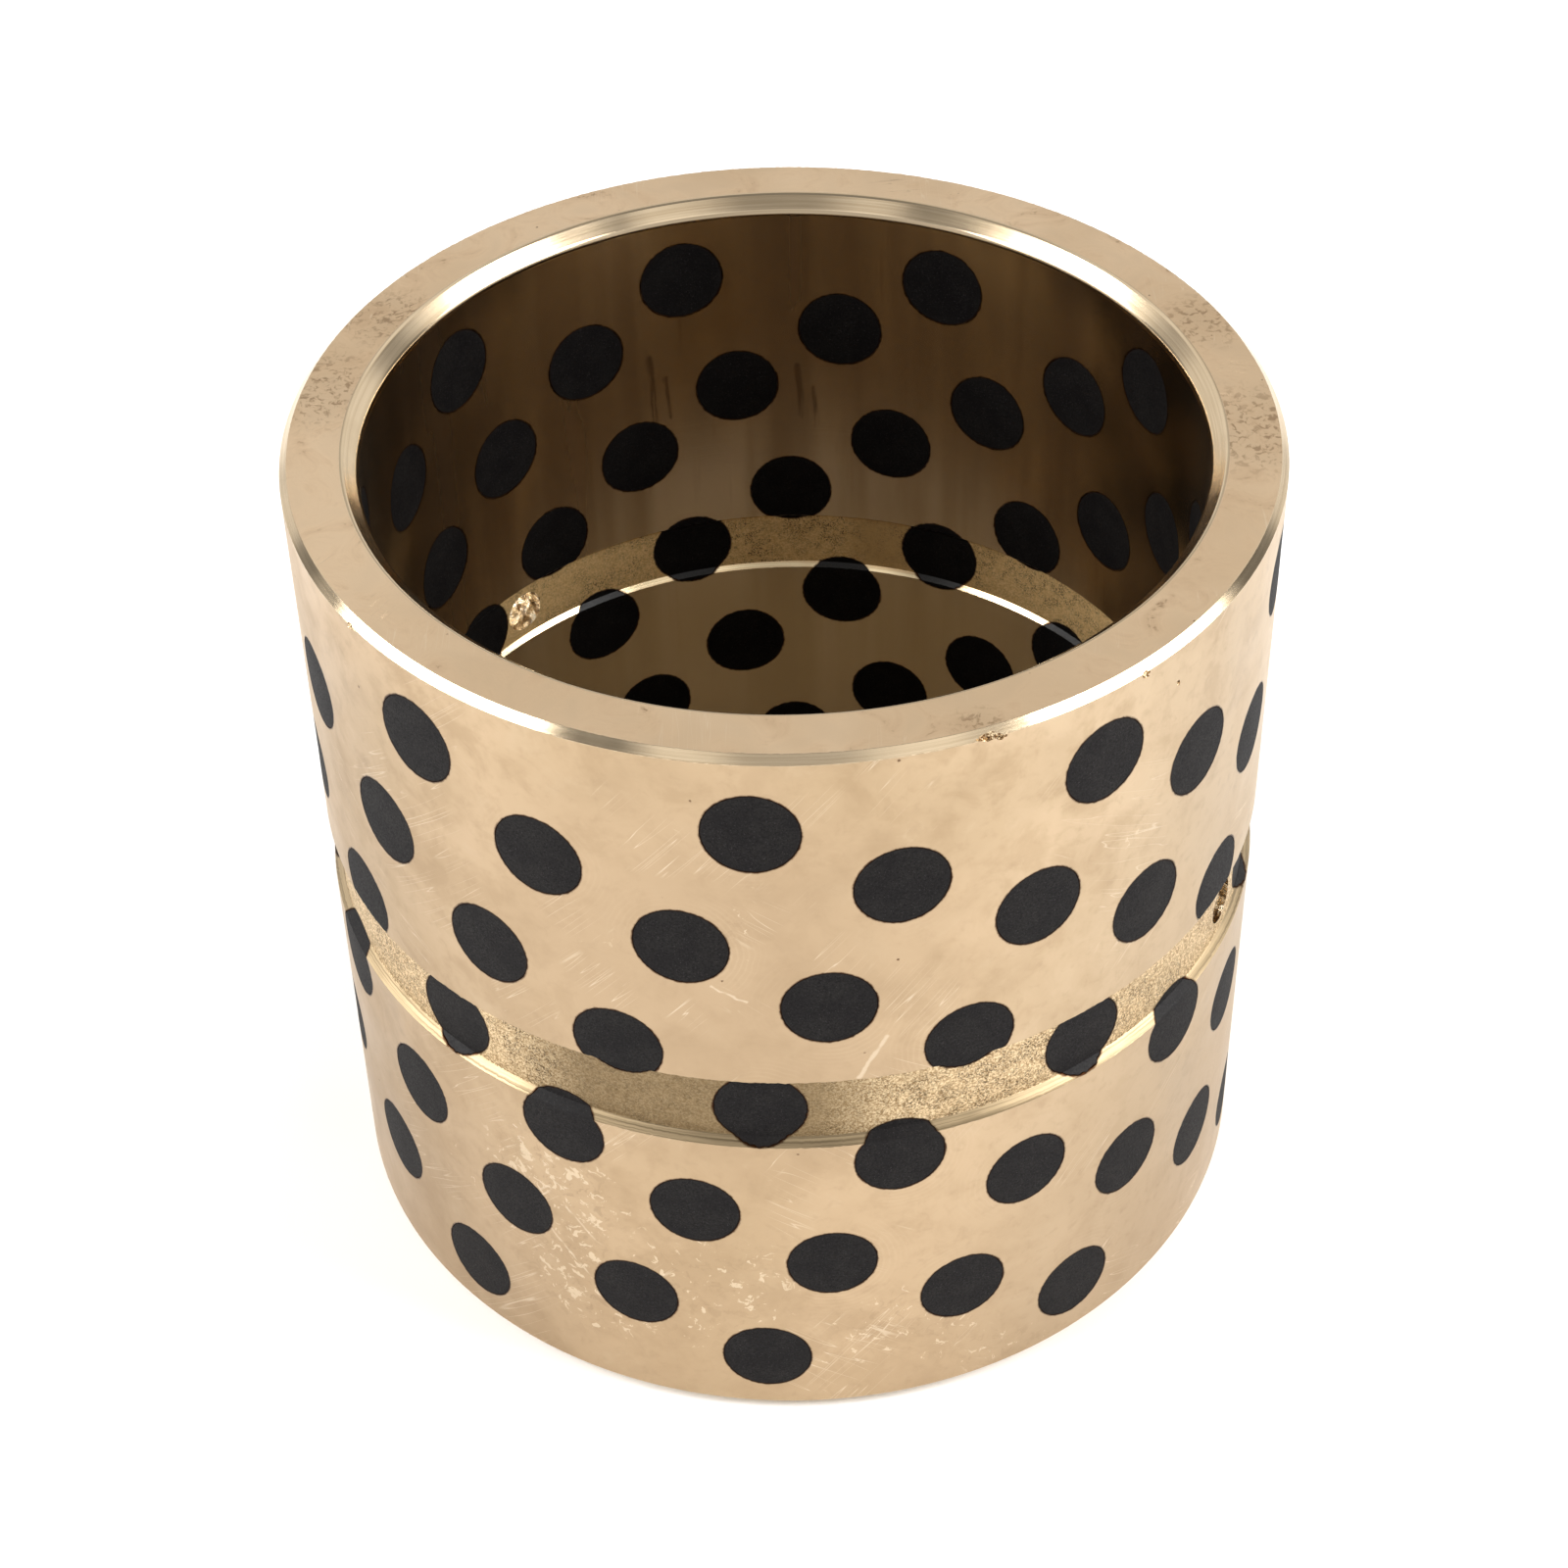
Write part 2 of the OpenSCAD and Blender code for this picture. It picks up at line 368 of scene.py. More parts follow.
class Nodes:
    """Short ways to add shader nodes to one tree. Values may be numbers, colours or sockets."""

    def __init__(self, tree):
        self.tree = tree

    def add(self, kind, values=None, **settings):
        node = self.tree.nodes.new("ShaderNode" + kind)
        for name, value in settings.items():
            setattr(node, name, value)
        for key, value in (values or {}).items():
            self.put(node.inputs[key], value)
        return node

    def put(self, socket, value):
        if isinstance(value, bpy.types.NodeSocket):
            self.tree.links.new(value, socket)
        elif value is not None:
            socket.default_value = value

    def math(self, operation, a, b=None, c=None, clamp=False):
        return self.add("Math", {0: a, 1: b, 2: c}, operation=operation, use_clamp=clamp).outputs[0]

    def ramp(self, value, low, high, out_low=0.0, out_high=1.0):
        """value from low to high, eased and clamped, as out_low to out_high."""
        node = self.add("MapRange", {"Value": value}, interpolation_type="SMOOTHSTEP", clamp=True)
        for name, v in (("From Min", low), ("From Max", high), ("To Min", out_low), ("To Max", out_high)):
            node.inputs[name].default_value = v
        return node.outputs["Result"]

    def mix(self, factor, a, b):
        node = self.add("Mix", data_type="RGBA")
        self.put(node.inputs[0], factor)
        self.put(node.inputs[6], a)
        self.put(node.inputs[7], b)
        return node.outputs[2]

    def scaled(self, vector, by):
        return self.add("VectorMath", {0: vector, 1: by}, operation="MULTIPLY").outputs[0]

    def turned(self, vector, euler):
        node = self.add("VectorRotate", {"Vector": vector, "Rotation": euler}, rotation_type="EULER_XYZ")
        return node.outputs[0]

    def noise(self, vector, scale, detail=2.0, rough=0.5, distort=0.0):
        values = {"Vector": vector, "Scale": scale, "Detail": detail}
        values.update({"Roughness": rough, "Distortion": distort})
        return self.add("TexNoise", values).outputs["Fac"]

    def cells(self, vector, scale):
        return self.add("TexVoronoi", {"Vector": vector, "Scale": scale})

    def length_of(self, a, b):
        """The length of the flat vector (a, b)."""
        return self.math("SQRT", self.math("ADD", self.math("MULTIPLY", a, a), self.math("MULTIPLY", b, b)))

    def hairline(self, bands, width):
        """1 on the thin line where bands crosses its middle value."""
        return self.ramp(self.math("ABSOLUTE", self.math("SUBTRACT", bands, 0.5)), 0.0, width, 1.0, 0.0)

    def pile(self, *pairs):
        """The sum of value times size, for heights in millimetres."""
        total = None
        for value, size in pairs:
            part = self.math("MULTIPLY", value, size)
            total = part if total is None else self.math("ADD", total, part)
        return total


def plug_field_group():
    """Distance in millimetres from the nearest plug's axis, for a place in the part's own frame."""
    tree = bpy.data.node_groups.new("plug_distance", "ShaderNodeTree")
    tree.interface.new_socket("Place", in_out="INPUT", socket_type="NodeSocketVector")
    tree.interface.new_socket("Distance", in_out="OUTPUT", socket_type="NodeSocketFloat")
    n = Nodes(tree)
    place = tree.nodes.new("NodeGroupInput").outputs[0]
    out = tree.nodes.new("NodeGroupOutput")
    axes = n.add("SeparateXYZ", {0: place})
    x, y, z = axes.outputs
    angle = n.math("ARCTAN2", x, n.math("MULTIPLY", y, -1.0))
    radius = n.length_of(x, y)
    rise, first = RING_RISE / MM, FIRST_RING_Z / MM
    level = n.math("ROUND", n.math("DIVIDE", n.math("SUBTRACT", z, first), rise))
    nearest = None
    pitch = math.radians(PLUG_PITCH)
    for step in (-1, 0, 1):
        ring = n.math("MAXIMUM", n.math("ADD", level, float(step)), 0.0)
        ring = n.math("MINIMUM", ring, float(RINGS - 1))
        start = n.math("MULTIPLY_ADD", ring, math.radians(RING_TURN), math.radians(FIRST_PLUG_ANGLE))
        off = n.math("SUBTRACT", angle, start)
        near = n.math("MULTIPLY", n.math("ROUND", n.math("DIVIDE", off, pitch)), pitch)
        side = n.math("MULTIPLY", radius, n.math("SINE", n.math("SUBTRACT", off, near)))
        lift = n.math("SUBTRACT", z, n.math("MULTIPLY_ADD", ring, rise, first))
        gap = n.length_of(side, lift)
        nearest = gap if nearest is None else n.math("MINIMUM", nearest, gap)
    n.put(out.inputs[0], nearest)
    return tree


PLUG_FIELD = plug_field_group()


class Finish(Nodes):
    """A material under construction. place is the part's own frame in millimetres."""

    def __init__(self, name, metallic):
        self.material = bpy.data.materials.new(name)
        self.material.use_nodes = True
        super().__init__(self.material.node_tree)
        self.tree.nodes.clear()
        self.surface = self.add("BsdfPrincipled")
        self.surface.inputs["Metallic"].default_value = metallic
        output = self.add("OutputMaterial")
        self.tree.links.new(self.surface.outputs[0], output.inputs[0])
        coordinates = self.add("TexCoord").outputs["Object"]
        self.place = self.scaled(coordinates, (1000.0, 1000.0, 1000.0))
        axes = self.add("SeparateXYZ", {0: self.place})
        self.x, self.y, self.z = axes.outputs

    def radius(self):
        return self.length_of(self.x, self.y)

    def patch(self, centre, core, reach):
        """1 within core millimetres of a place on the part, easing to 0 at reach."""
        away = self.add("VectorMath", {0: self.place, 1: centre}, operation="DISTANCE").outputs["Value"]
        return self.ramp(away, core, reach, 1.0, 0.0)

    def stroke(self, start, end, width, jitter):
        """A single scratch from start to end, in millimetres, with a wandering edge."""
        along = tuple(b - a for a, b in zip(start, end))
        scale = 1.0 / sum(v * v for v in along)
        loose = self.add("VectorMath", {0: self.place, 1: jitter}, operation="ADD").outputs[0]
        rest = self.add("VectorMath", {0: loose, 1: start}, operation="SUBTRACT").outputs[0]
        dot = self.add("VectorMath", {0: rest, 1: along}, operation="DOT_PRODUCT").outputs["Value"]
        share = self.math("MULTIPLY", dot, scale, clamp=True)
        run = self.add("VectorMath", {0: along, "Scale": share}, operation="SCALE").outputs[0]
        gap = self.add("VectorMath", {0: rest, 1: run}, operation="DISTANCE").outputs["Value"]
        return self.ramp(gap, width * 0.3, width, 1.0, 0.0)

    def wander(self, size, amount):
        """A vector that shifts a place by up to half of amount, in millimetres, for uneven lines."""
        colour = self.add("TexNoise", {"Vector": self.place, "Scale": size, "Detail": 2.0}).outputs["Color"]
        centred = self.add("VectorMath", {0: colour, 1: (0.5, 0.5, 0.5)}, operation="SUBTRACT").outputs[0]
        return self.scaled(centred, (amount, amount, amount))

    def any_of(self, *values):
        total = values[0]
        for value in values[1:]:
            total = self.math("MAXIMUM", total, value)
        return total

    def plug_distance(self):
        node = self.add("Group")
        node.node_tree = PLUG_FIELD
        self.put(node.inputs[0], self.place)
        return node.outputs[0]

    def close(self, colour, rough, height=None):
        self.put(self.surface.inputs["Base Color"], colour)
        self.put(self.surface.inputs["Roughness"], rough)
        if height is not None:
            bump = self.add("Bump", {"Height": height})
            bump.inputs["Strength"].default_value = 1.0
            bump.inputs["Distance"].default_value = MM
            self.put(self.surface.inputs["Normal"], bump.outputs[0])
        return self.material


def hairlines(f, euler, fine, coarse, width, mask_scale, mask_low):
    """Thin broken scratches that run mostly one way over the surface."""
    turned_place = f.turned(f.place, euler)
    bands = f.noise(f.scaled(turned_place, (coarse, coarse, fine)), 1.0, 1.0, 0.5, 0.15)
    line = f.hairline(bands, width)
    mask = f.ramp(f.noise(f.place, mask_scale, 2.0), mask_low, mask_low + 0.08)
    return f.math("MULTIPLY", line, mask)


def rim_stain(f, distance):
    """The brown line that the plug's adhesive leaves on the bronze, strongest at the hole's edge."""
    uneven = f.noise(f.place, 1.3, 2.0)
    reach = f.math("SUBTRACT", distance, f.math("MULTIPLY", uneven, 0.35))
    return f.ramp(reach, 5.85, 6.16, 1.0, 0.0)


def pinholes(f, grain, scale, roughness, core, reach):
    """Small dark pits, in two of every five cells of a loose pattern."""
    cells = f.cells(f.place, scale)
    away = f.math("ADD", cells.outputs["Distance"], f.math("MULTIPLY", grain, roughness))
    chosen = f.ramp(f.add("SeparateColor", {0: cells.outputs["Color"]}).outputs[1], 0.6, 0.62)
    return f.math("MULTIPLY", f.ramp(away, core, reach, 1.0, 0.0), chosen)


def on_wall(radius, degrees, z):
    """A place in millimetres at a radius, an angle about +Z from the -Y side, and a height."""
    a = math.radians(degrees)
    return (radius * math.sin(a), -radius * math.cos(a), z)


DARK_RIM = tone(58, 34, 18)


# ---------------------------------------------------------------- bronze
def outside_finish():
    f = Finish("bronze_outside", 1.0)
    outer = OUTSIDE_R / MM
    broad = f.noise(f.place, 0.022, 3.0, 0.55, 0.4)
    cloud = f.noise(f.turned(f.place, (0.3, 0.5, 0.2)), 0.07, 5.0, 0.58, 0.25)
    fine = f.noise(f.place, 0.5, 4.0, 0.6, 0.3)
    grain = f.noise(f.place, 5.0, 2.0, 0.6)
    colour = f.mix(f.ramp(broad, 0.35, 0.65), tone(189, 164, 131), tone(202, 176, 143))
    colour = f.mix(f.ramp(cloud, 0.42, 0.66, 0.0, 0.5), colour, tone(173, 148, 116))
    # Painted light: the outside is painted paler towards +x, its right side, standing in for that side being
    # more brightly lit.
    colour = f.mix(f.ramp(f.x, 5.0, 55.0, 0.0, 0.6), colour, tone(208, 186, 156))
    smudge = f.noise(f.turned(f.place, (0.9, 0.2, 0.5)), 0.16, 5.0, 0.62, 0.4)
    # stains are stronger towards the upper left, and faint on the right
    upper_left = f.ramp(f.math("SUBTRACT", f.z, f.x), 0.0, 110.0, 0.2, 0.45)
    stained = f.math("MULTIPLY", f.ramp(smudge, 0.46, 0.68), upper_left)
    colour = f.mix(stained, colour, tone(166, 140, 107))
    colour = f.mix(f.ramp(smudge, 0.3, 0.44, 0.25, 0.0), colour, tone(208, 186, 155))
    colour = f.mix(f.ramp(fine, 0.5, 0.78, 0.0, 0.3), colour, tone(158, 133, 103))
    # Painted shade: the outside is painted darker towards its bottom, with a cloudy edge.
    painted_shade_height = f.math("ADD", f.z, f.math("MULTIPLY", f.math("SUBTRACT", cloud, 0.5), 60.0))
    colour = f.mix(f.ramp(painted_shade_height, 20.0, 75.0, 0.3, 0.0), colour, tone(156, 132, 103))
    worn = f.any_of(f.patch(on_wall(outer, -10, 84), 10.0, 52.0), f.patch(on_wall(outer, 2, 66), 4.0, 26.0))
    colour = f.mix(f.math("MULTIPLY", worn, 0.7), colour, tone(173, 149, 120))
    # pale bruised flakes, in clusters
    loose = f.add("VectorMath", {0: f.place, 1: f.wander(0.5, 2.2)}, operation="ADD").outputs[0]
    cluster = f.any_of(
        f.ramp(f.noise(f.place, 0.045, 2.0, 0.5), 0.62, 0.72, 0.0, 0.5),
        f.patch(on_wall(outer, -31, 36), 4.0, 15.0),
        f.patch(on_wall(outer, -27, 20), 3.0, 14.0),
        f.math("MULTIPLY", f.patch(on_wall(outer, -12, 24), 2.0, 18.0), 0.6),
    )
    chips = f.noise(f.turned(loose, (0.4, 0.2, 0.7)), 0.5, 4.0, 0.6, 0.7)
    limit = f.math("ADD", chips, f.math("MULTIPLY", cluster, 0.11))
    flake = f.math("MULTIPLY", f.ramp(limit, 0.655, 0.685), f.ramp(cluster, 0.0, 0.3))
    colour = f.mix(f.math("MULTIPLY", flake, 0.6), colour, tone(222, 203, 174))
    dull = f.math("MULTIPLY", f.ramp(limit, 0.5, 0.44), cluster)
    colour = f.mix(f.math("MULTIPLY", dull, 0.45), colour, tone(150, 126, 97))
    # hairline scratches two ways, some longer strokes, and faint rings of polishing round some plugs
    jitter = f.wander(0.5, 0.9)
    strokes = f.any_of(
        f.stroke(on_wall(outer, 9.7, 73), on_wall(outer, 6.6, 66.2), 0.45, jitter),
        f.stroke(on_wall(outer, -9.4, 82.4), on_wall(outer, -5.6, 80.2), 0.3, jitter),
        f.stroke(on_wall(outer, -29, 34), on_wall(outer, -18, 20), 0.35, jitter),
        f.stroke(on_wall(outer, -33, 30), on_wall(outer, -24, 18), 0.3, jitter),
        f.stroke(on_wall(outer, 118, 88), on_wall(outer, 126, 74), 0.35, jitter),
        f.stroke(on_wall(outer, 196, 40), on_wall(outer, 204, 30), 0.35, jitter),
        f.stroke(on_wall(outer, -112, 98), on_wall(outer, -102, 90), 0.35, jitter),
    )
    scratch = f.any_of(
        hairlines(f, (0.0, 0.9, 0.4), 0.9, 0.03, 0.012, 0.06, 0.56),
        hairlines(f, (0.0, -0.6, 0.2), 0.7, 0.04, 0.010, 0.05, 0.58),
        f.math("MULTIPLY", strokes, 0.9),
    )
    colour = f.mix(f.math("MULTIPLY", scratch, 0.6), colour, tone(222, 204, 178))
    distance = f.plug_distance()
    swirl = f.math("SINE", f.math("MULTIPLY", f.math("ADD", distance, f.math("MULTIPLY", cloud, 3.0)), 8.5))
    swirl_mask = f.math("MULTIPLY", f.ramp(broad, 0.56, 0.64), f.ramp(distance, 6.5, 13.0, 1.0, 0.0))
    swirled = f.math("MULTIPLY", swirl, swirl_mask)
    colour = f.mix(f.math("MULTIPLY", f.math("MAXIMUM", swirled, 0.0), 0.1), colour, tone(216, 196, 166))
    # dark pinholes
    pin = pinholes(f, grain, 0.16, 0.03, 0.035, 0.055)
    colour = f.mix(f.math("MULTIPLY", pin, 0.8), colour, tone(96, 66, 40))
    colour = f.mix(rim_stain(f, distance), colour, DARK_RIM)
    rough = f.math("ADD", f.ramp(cloud, 0.3, 0.7, 0.34, 0.44), f.math("MULTIPLY", flake, -0.08))
    turning = f.noise(f.scaled(f.place, (0.02, 0.02, 4.0)), 1.0, 2.0, 0.6)
    height = f.pile((cloud, 0.05), (fine, 0.018), (grain, 0.0022), (turning, 0.0035), (flake, 0.012),
                    (scratch, -0.008), (swirled, 0.0007), (pin, -0.06))
    return f.close(colour, rough, height)


def end_face_finish():
    f = Finish("bronze_end_face", 1.0)
    radius = f.radius()
    broad = f.noise(f.place, 0.03, 3.0, 0.5, 0.5)
    cloud = f.noise(f.place, 0.14, 4.0, 0.62, 1.2)
    fine = f.noise(f.place, 0.9, 4.0, 0.6, 0.8)
    grain = f.noise(f.place, 6.0, 2.0, 0.6)
    colour = f.mix(f.ramp(broad, 0.35, 0.65), tone(222, 195, 160), tone(234, 208, 174))
    colour = f.mix(f.ramp(cloud, 0.45, 0.75, 0.0, 0.6), colour, tone(200, 173, 141))
    middle, top = (OUTSIDE_R + BORE_R) / 2 / MM, LENGTH / MM
    stained = f.any_of(
        f.patch(on_wall(middle, -100, top), 3.0, 12.0),
        f.patch(on_wall(middle - 1, -117, top), 2.0, 9.0),
        f.patch(on_wall(middle + 1, 88, top), 3.0, 13.0),
        f.patch(on_wall(middle + 4, 20, top), 1.0, 5.0),
        f.patch(on_wall(middle + 1, 112, top), 2.0, 8.0),
    )
    blot = f.math("MULTIPLY", f.ramp(fine, 0.5, 0.64), f.any_of(f.ramp(cloud, 0.62, 0.72), stained))
    colour = f.mix(f.math("MULTIPLY", blot, 0.7), colour, tone(142, 114, 84))
    colour = f.mix(f.math("MULTIPLY", stained, 0.2), colour, tone(170, 142, 108))
    # long faint arcs, swept about a point in front of the part
    flat = f.scaled(f.place, (1.0, 1.0, 0.0))
    shifted = f.add("VectorMath", {0: flat, 1: (38.0, -92.0, 0.0)}, operation="SUBTRACT").outputs[0]
    sweep = f.add("VectorMath", {0: shifted}, operation="LENGTH").outputs["Value"]
    across = f.add("CombineXYZ", {0: f.math("MULTIPLY", sweep, 1.4), 1: f.math("MULTIPLY", cloud, 0.8)})
    arcs = f.noise(across.outputs[0], 1.0, 2.0)
    arc = f.hairline(arcs, 0.014)
    arc = f.math("MULTIPLY", arc, f.ramp(f.noise(f.place, 0.09, 2.0), 0.62, 0.68))
    colour = f.mix(f.math("MULTIPLY", arc, 0.45), colour, tone(128, 100, 72))
    scratch = hairlines(f, (0.0, 1.57, 0.6), 1.1, 0.05, 0.012, 0.08, 0.55)
    colour = f.mix(f.math("MULTIPLY", scratch, 0.4), colour, tone(240, 222, 196))
    pin = pinholes(f, grain, 0.3, 0.05, 0.06, 0.1)
    colour = f.mix(f.math("MULTIPLY", pin, 0.7), colour, tone(110, 84, 58))
    rough = f.ramp(cloud, 0.3, 0.7, 0.40, 0.52)
    lathe = f.noise(f.add("CombineXYZ", {0: f.math("MULTIPLY", radius, 5.0)}).outputs[0], 1.0, 2.0)
    height = f.pile((cloud, 0.03), (fine, 0.02), (grain, 0.004), (lathe, 0.003), (arc, -0.015),
                    (pin, -0.05), (blot, -0.01))
    return f.close(colour, rough, height)


def turned_edge_finish(name, light, dark, rough_low, rough_high, lines, relief=0.004):
    """Fresh tool cuts: chamfers and groove sides, with fine lines running round the part."""
    f = Finish(name, 1.0)
    cut = f.noise(f.scaled(f.place, (0.03, 0.03, lines)), 1.0, 3.0, 0.65)
    drift = f.noise(f.place, 0.12, 2.0)
    grain = f.noise(f.place, 4.0, 2.0)
    colour = f.mix(f.ramp(cut, 0.35, 0.7), light, dark)
    colour = f.mix(f.ramp(drift, 0.5, 0.75, 0.0, 0.35), colour, dark)
    distance = f.plug_distance()
    colour = f.mix(rim_stain(f, distance), colour, DARK_RIM)
    rough = f.ramp(drift, 0.3, 0.7, rough_low, rough_high)
    height = f.pile((cut, relief), (drift, 0.02), (grain, 0.001))
    return f.close(colour, rough, height)


def groove_floor_finish(name, light, dark, speck, stain_and_shade, stain_and_shade_places, metallic=1.0):
    """The sandy floor of a groove, cut rough and left with dark specks."""
    f = Finish(name, metallic)
    broad = f.noise(f.place, 0.05, 3.0, 0.5, 0.4)
    sand = f.noise(f.place, 2.9, 4.0, 0.75, 0.3)
    grit = f.noise(f.place, 4.2, 3.0, 0.7)
    colour = f.mix(f.ramp(sand, 0.38, 0.62), light, dark)
    # Where dull is high the floor takes the stain_and_shade tone: real staining from broad noise and the
    # listed patches, but the outside groove's front-centre patch is painted shade.
    dull = f.any_of(f.ramp(broad, 0.58, 0.76, 0.0, 0.6), *(f.patch(*spot) for spot in stain_and_shade_places))
    colour = f.mix(f.math("MULTIPLY", dull, 0.85), colour, stain_and_shade)
    wear = f.noise(f.place, 0.11, 2.0, 0.6)
    worn = f.ramp(f.math("SUBTRACT", wear, f.math("MULTIPLY", dull, 0.15)), 0.38, 0.6)
    specks = f.math("MULTIPLY", f.ramp(grit, 0.52, 0.57), f.ramp(f.noise(f.place, 0.6, 3.0), 0.4, 0.56))
    specks = f.math("MULTIPLY", specks, f.math("MULTIPLY_ADD", worn, 0.7, 0.3))
    colour = f.mix(f.math("MULTIPLY", specks, 0.85), colour, speck)
    distance = f.plug_distance()
    colour = f.mix(rim_stain(f, distance), colour, DARK_RIM)
    rough = f.ramp(sand, 0.3, 0.7, 0.42, 0.6)
    height = f.pile((sand, 0.04), (grit, 0.02), (specks, -0.05))
    return f.close(colour, rough, height)


def bore_finish():
    f = Finish("bronze_bore", 1.0)
    inner = BORE_R / MM
    streak = f.noise(f.scaled(f.place, (0.085, 0.085, 0.004)), 1.0, 3.0, 0.5)
    broad = f.noise(f.place, 0.03, 3.0, 0.5, 0.5)
    fine = f.noise(f.scaled(f.place, (1.1, 1.1, 0.08)), 1.0, 3.0, 0.6)
    grain = f.noise(f.place, 5.0, 2.0)
    colour = f.mix(f.ramp(streak, 0.38, 0.64), tone(230, 208, 176), tone(186, 162, 130))
    colour = f.mix(f.ramp(broad, 0.45, 0.7, 0.0, 0.4), colour, tone(198, 172, 138))
    colour = f.mix(f.ramp(fine, 0.56, 0.76, 0.0, 0.25), colour, tone(184, 156, 122))
    # Painted shade: the bore is painted darker and more olive towards its lower end, deep in the recess.
    colour = f.mix(f.ramp(f.z, 45.0, 78.0, 0.7, 0.0), colour, tone(194, 169, 124))
    flank = f.ramp(f.math("MULTIPLY_ADD", f.z, 0.35, f.math("ABSOLUTE", f.x)), 66.0, 84.0)
    shaded = f.math("MULTIPLY", flank, f.ramp(streak, 0.3, 0.7, 0.95, 0.75))
    colour = f.mix(shaded, colour, tone(134, 119, 100))
    jitter = f.wander(0.5, 0.7)
    rubbed = f.any_of(
        f.stroke(on_wall(inner, -159, 96), on_wall(inner, -159.6, 84), 0.7, jitter),
        f.stroke(on_wall(inner, -161.5, 92), on_wall(inner, -162, 85), 0.5, jitter),
        f.stroke(on_wall(inner, 178, 92), on_wall(inner, 177.4, 83), 0.7, jitter),
        f.stroke(on_wall(inner, 175.6, 88), on_wall(inner, 175.2, 81), 0.5, jitter),
        f.stroke(on_wall(inner, -20, 96), on_wall(inner, -21, 82), 0.7, jitter),
        f.stroke(on_wall(inner, 60, 40), on_wall(inner, 59, 26), 0.7, jitter),
    )
    rubbed = f.math("MULTIPLY", rubbed, f.ramp(fine, 0.35, 0.55))
    colour = f.mix(f.math("MULTIPLY", rubbed, 0.6), colour, tone(120, 96, 72))
    distance = f.plug_distance()
    colour = f.mix(rim_stain(f, distance), colour, DARK_RIM)
    rough = f.ramp(streak, 0.3, 0.7, 0.2, 0.28)
    turning = f.noise(f.scaled(f.place, (0.02, 0.02, 3.0)), 1.0, 2.0, 0.6)
    height = f.pile((streak, 0.05), (fine, 0.002), (grain, 0.0010), (turning, 0.003))
    return f.close(colour, rough, height)


def hole_wall_finish():
    f = Finish("plug_hole_wall", 1.0)
    grime = f.noise(f.place, 1.2, 3.0)
    colour = f.mix(grime, tone(46, 28, 16), tone(84, 54, 30))
    return f.close(colour, f.ramp(grime, 0.3, 0.7, 0.5, 0.7), f.pile((grime, 0.03)))


def drilled_finish():
    f = Finish("grease_hole_wall", 1.0)
    swarf = f.noise(f.scaled(f.place, (1.0, 1.0, 2.2)), 0.8, 3.0, 0.5)
    # Painted light: the near-white tone with slanted dark bands (ridges) paints bright reflected streaks,
    # with painted shade in the grooves between the bumped ridges.
    colour = f.mix(f.ramp(swarf, 0.45, 0.7), tone(252, 238, 212), tone(220, 192, 148))
    slant = f.math("MULTIPLY_ADD", f.x, 0.45, f.z)
    ridges = f.math("SINE", f.math("ADD", f.math("MULTIPLY", slant, 2.9), f.math("MULTIPLY", swarf, 5.0)))
    colour = f.mix(f.ramp(ridges, 0.3, 0.9, 0.0, 0.85), colour, tone(120, 92, 60))
    return f.close(colour, f.ramp(swarf, 0.3, 0.7, 0.16, 0.26), f.pile((swarf, 0.012), (ridges, -0.12)))


def nick_finish():
    f = Finish("bronze_nick", 1.0)
    torn = f.noise(f.place, 3.0, 4.0, 0.7)
    colour = f.mix(f.ramp(torn, 0.4, 0.6), tone(240, 216, 176), tone(120, 88, 56))
    return f.close(colour, f.ramp(torn, 0.3, 0.7, 0.25, 0.5), f.pile((torn, 0.08)))


# ---------------------------------------------------------------- graphite
def grey(r, g, b, share):
    return tone(r * share, g * share, b * share)


def graphite_finish(name, rough_low, rough_high, specular, share=1.0):
    """Pressed graphite. share scales how light its greys are; below 1 it is painted shade, for plugs in the
    dim bore.
    """
    f = Finish(name, 0.0)
    f.surface.inputs["Specular IOR Level"].default_value = specular
    broad = f.noise(f.place, 0.25, 3.0)
    speckle = f.noise(f.place, 3.2, 3.0, 0.7)
    dust = f.ramp(f.noise(f.place, 6.0, 2.0, 0.6), 0.62, 0.72)
    colour = f.mix(f.ramp(broad, 0.35, 0.65), grey(26, 24, 24, share), grey(33, 31, 30, share))
    colour = f.mix(f.ramp(speckle, 0.4, 0.7), colour, grey(20, 18, 19, share))
    colour = f.mix(f.math("MULTIPLY", dust, 0.4 * share), colour, tone(88, 84, 84))
    distance = f.plug_distance()
    edge = f.ramp(f.math("ADD", distance, f.math("MULTIPLY", speckle, 0.25)), 5.85, 6.15)
    colour = f.mix(f.math("MULTIPLY", edge, 0.7), colour, tone(30, 18, 12))
    rough = f.ramp(speckle, 0.3, 0.7, rough_low, rough_high)
    height = f.pile((broad, 0.02), (speckle, 0.012), (dust, 0.006))
    return f.close(colour, rough, height)


